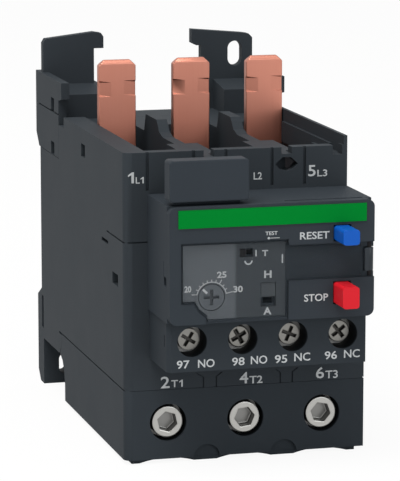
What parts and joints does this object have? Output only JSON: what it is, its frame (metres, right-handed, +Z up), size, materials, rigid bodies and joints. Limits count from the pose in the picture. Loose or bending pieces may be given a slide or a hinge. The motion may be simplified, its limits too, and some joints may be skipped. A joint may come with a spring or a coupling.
{
  "type": "thermal overload relay",
  "caption": "Plug-in thermal overload relay: copper line bars, screw clamps, setting dial under a hinged cover, reset and stop buttons.",
  "frame": {"origin": "middle of the overall box, on the plane the relay stands on", "axes": "+X to the right seen from the front, +Y from the front to the mounting plane, +Z up along the line bars"},
  "size_m": [0.055, 0.1168, 0.0868],
  "materials": {
    "housing_plastic": "fine moulded texture",
    "module_plastic": "fine moulded texture, slightly glossier",
    "terminal_plastic": "fine moulded texture",
    "inner_plastic": "plain",
    "slide_plastic": "plain natural nylon",
    "green_band": "smooth",
    "reset_blue": "smooth",
    "stop_red": "smooth",
    "clear_cover": "clear polycarbonate",
    "plate_grey": "satin print",
    "dial_grey": "satin",
    "marker_plastic": "satin",
    "copper": "bright drawn copper",
    "bimetal_steel": "rolled strip",
    "heater_alloy": "dull resistance ribbon",
    "zinc_steel": "zinc plated",
    "nickel_steel": "nickel plated",
    "contact_brass": "rolled strip",
    "spring_steel": "drawn wire"
  },
  "bodies": {
    "root": {"power_housing": "housing_plastic", "load_terminal_block": "terminal_plastic", "cable_guide": "terminal_plastic", "mounting_base": "housing_plastic", "chamber_lids": "inner_plastic", "control_case": "module_plastic", "front_bezel": "module_plastic", "setting_plate": "plate_grey", "accent_band": "green_band", "marker_plate": "marker_plastic", "aux_terminal_block": "terminal_plastic", "lever_pin": "zinc_steel", "cover_pin": "zinc_steel", "reset_spring": "spring_steel", "stop_spring": "spring_steel", "make_contact_97": "contact_brass", "make_contact_98": "contact_brass", "break_contact_95": "contact_brass", "break_contact_96": "contact_brass", "line_bar_1": "copper", "load_bar_1": "copper", "bimetal_strip_1": "bimetal_steel", "heater_coil_1": "heater_alloy", "clamp_cage_1": "zinc_steel", "line_bar_2": "copper", "load_bar_2": "copper", "bimetal_strip_2": "bimetal_steel", "heater_coil_2": "heater_alloy", "clamp_cage_2": "zinc_steel", "line_bar_3": "copper", "load_bar_3": "copper", "bimetal_strip_3": "bimetal_steel", "heater_coil_3": "heater_alloy", "clamp_cage_3": "zinc_steel"},
    "window_cover": {"window_cover": "clear_cover"},
    "reset_button": {"reset_button": "reset_blue"},
    "stop_button": {"stop_button": "stop_red"},
    "setting_dial": {"adjustment_dial": "dial_grey", "setting_cam": "slide_plastic"},
    "mode_selector": {"mode_selector": "plate_grey"},
    "test_slide": {"test_slide": "inner_plastic"},
    "trip_slide": {"trip_slide": "slide_plastic"},
    "phase_loss_slide": {"phase_loss_slide": "slide_plastic"},
    "trip_lever": {"trip_lever": "slide_plastic", "compensation_strip": "bimetal_steel"},
    "contact_bridge": {"contact_bridge": "slide_plastic"},
    "clamp_jaw_1": {"clamp_jaw_1": "zinc_steel"},
    "clamp_screw_1": {"clamp_screw_1": "nickel_steel"},
    "clamp_jaw_2": {"clamp_jaw_2": "zinc_steel"},
    "clamp_screw_2": {"clamp_screw_2": "nickel_steel"},
    "clamp_jaw_3": {"clamp_jaw_3": "zinc_steel"},
    "clamp_screw_3": {"clamp_screw_3": "nickel_steel"},
    "aux_clamp_plate_1": {"aux_clamp_plate_1": "zinc_steel"},
    "aux_screw_1": {"aux_screw_1": "nickel_steel"},
    "aux_clamp_plate_2": {"aux_clamp_plate_2": "zinc_steel"},
    "aux_screw_2": {"aux_screw_2": "nickel_steel"},
    "aux_clamp_plate_3": {"aux_clamp_plate_3": "zinc_steel"},
    "aux_screw_3": {"aux_screw_3": "nickel_steel"},
    "aux_clamp_plate_4": {"aux_clamp_plate_4": "zinc_steel"},
    "aux_screw_4": {"aux_screw_4": "nickel_steel"}
  },
  "joints": [
    {"name": "cover_hinge", "type": "hinge", "parent": "root", "child": "window_cover", "pos_m": [0.02235, -0.05092, 0.04735], "axis": [0, 0, 1], "range_deg": [0, 110]},
    {"name": "reset_press", "type": "slide", "parent": "root", "child": "reset_button", "axis": [0, 1, 0], "range_m": [0, 0.003], "stiffness_N_per_m": 300, "springref_m": -0.0015, "deforming": ["reset_spring"]},
    {"name": "stop_press", "type": "slide", "parent": "root", "child": "stop_button", "axis": [0, 1, 0], "range_m": [0, 0.003], "stiffness_N_per_m": 300, "springref_m": -0.0015, "deforming": ["stop_spring"]},
    {"name": "dial_turn", "type": "hinge", "parent": "root", "child": "setting_dial", "pos_m": [-0.0129, -0.05065, 0.0406], "axis": [0, 1, 0], "range_deg": [-30, 210]},
    {"name": "selector_slide", "type": "slide", "parent": "root", "child": "mode_selector", "axis": [0, 0, -1], "range_m": [0, 0.002]},
    {"name": "test_press", "type": "slide", "parent": "root", "child": "test_slide", "axis": [1, 0, 0], "range_m": [0, 0.0014], "stiffness_N_per_m": 200, "springref_m": -0.001},
    {"name": "trip_slide_move", "type": "slide", "parent": "root", "child": "trip_slide", "axis": [1, 0, 0], "range_m": [0, 0.002]},
    {"name": "phase_slide_move", "type": "slide", "parent": "root", "child": "phase_loss_slide", "axis": [-1, 0, 0], "range_m": [0, 0.0012]},
    {"name": "lever_turn", "type": "hinge", "parent": "root", "child": "trip_lever", "pos_m": [0, -0.03115, 0.0454], "axis": [0, 0, 1], "range_deg": [-11.42, 0]},
    {"name": "bridge_slide", "type": "slide", "parent": "root", "child": "contact_bridge", "axis": [1, 0, 0], "range_m": [-0.002, 0]},
    {"name": "jaw_slide_1", "type": "slide", "parent": "root", "child": "clamp_jaw_1", "axis": [0, 1, 0], "range_m": [0, 0.006]},
    {"name": "clamp_screw_turn_1", "type": "hinge", "parent": "clamp_jaw_1", "child": "clamp_screw_1", "pos_m": [-0.0177, -0.02965, 0.0092], "axis": [0, 1, 0], "range_deg": [0, 1440]},
    {"name": "jaw_slide_2", "type": "slide", "parent": "root", "child": "clamp_jaw_2", "axis": [0, 1, 0], "range_m": [0, 0.006]},
    {"name": "clamp_screw_turn_2", "type": "hinge", "parent": "clamp_jaw_2", "child": "clamp_screw_2", "pos_m": [0, -0.02965, 0.0092], "axis": [0, 1, 0], "range_deg": [0, 1440]},
    {"name": "jaw_slide_3", "type": "slide", "parent": "root", "child": "clamp_jaw_3", "axis": [0, 1, 0], "range_m": [0, 0.006]},
    {"name": "clamp_screw_turn_3", "type": "hinge", "parent": "clamp_jaw_3", "child": "clamp_screw_3", "pos_m": [0.0177, -0.02965, 0.0092], "axis": [0, 1, 0], "range_deg": [0, 1440]},
    {"name": "aux_plate_slide_1", "type": "slide", "parent": "root", "child": "aux_clamp_plate_1", "axis": [0, 1, 0], "range_m": [0, 0.0024]},
    {"name": "aux_screw_turn_1", "type": "hinge", "parent": "aux_clamp_plate_1", "child": "aux_screw_1", "pos_m": [-0.01635, -0.04365, 0.0304], "axis": [0, 1, 0], "range_deg": [0, 1440]},
    {"name": "aux_plate_slide_2", "type": "slide", "parent": "root", "child": "aux_clamp_plate_2", "axis": [0, 1, 0], "range_m": [0, 0.0024]},
    {"name": "aux_screw_turn_2", "type": "hinge", "parent": "aux_clamp_plate_2", "child": "aux_screw_2", "pos_m": [-0.00505, -0.04365, 0.0304], "axis": [0, 1, 0], "range_deg": [0, 1440]},
    {"name": "aux_plate_slide_3", "type": "slide", "parent": "root", "child": "aux_clamp_plate_3", "axis": [0, 1, 0], "range_m": [0, 0.0024]},
    {"name": "aux_screw_turn_3", "type": "hinge", "parent": "aux_clamp_plate_3", "child": "aux_screw_3", "pos_m": [0.00625, -0.04365, 0.0304], "axis": [0, 1, 0], "range_deg": [0, 1440]},
    {"name": "aux_plate_slide_4", "type": "slide", "parent": "root", "child": "aux_clamp_plate_4", "axis": [0, 1, 0], "range_m": [0, 0.0024]},
    {"name": "aux_screw_turn_4", "type": "hinge", "parent": "aux_clamp_plate_4", "child": "aux_screw_4", "pos_m": [0.01755, -0.04365, 0.0304], "axis": [0, 1, 0], "range_deg": [0, 1440]}
  ],
  "couplings": [
    {"joint": "lever_turn", "follows": "trip_slide_move", "rad_per_m": -90.91},
    {"joint": "bridge_slide", "follows": "trip_slide_move", "ratio": -0.95},
    {"joint": "clamp_screw_turn_1", "follows": "jaw_slide_1", "rad_per_m": 4188.8},
    {"joint": "clamp_screw_turn_2", "follows": "jaw_slide_2", "rad_per_m": 4188.8},
    {"joint": "clamp_screw_turn_3", "follows": "jaw_slide_3", "rad_per_m": 4188.8},
    {"joint": "aux_screw_turn_1", "follows": "aux_plate_slide_1", "rad_per_m": 10472},
    {"joint": "aux_screw_turn_2", "follows": "aux_plate_slide_2", "rad_per_m": 10472},
    {"joint": "aux_screw_turn_3", "follows": "aux_plate_slide_3", "rad_per_m": 10472},
    {"joint": "aux_screw_turn_4", "follows": "aux_plate_slide_4", "rad_per_m": 10472}
  ]
}
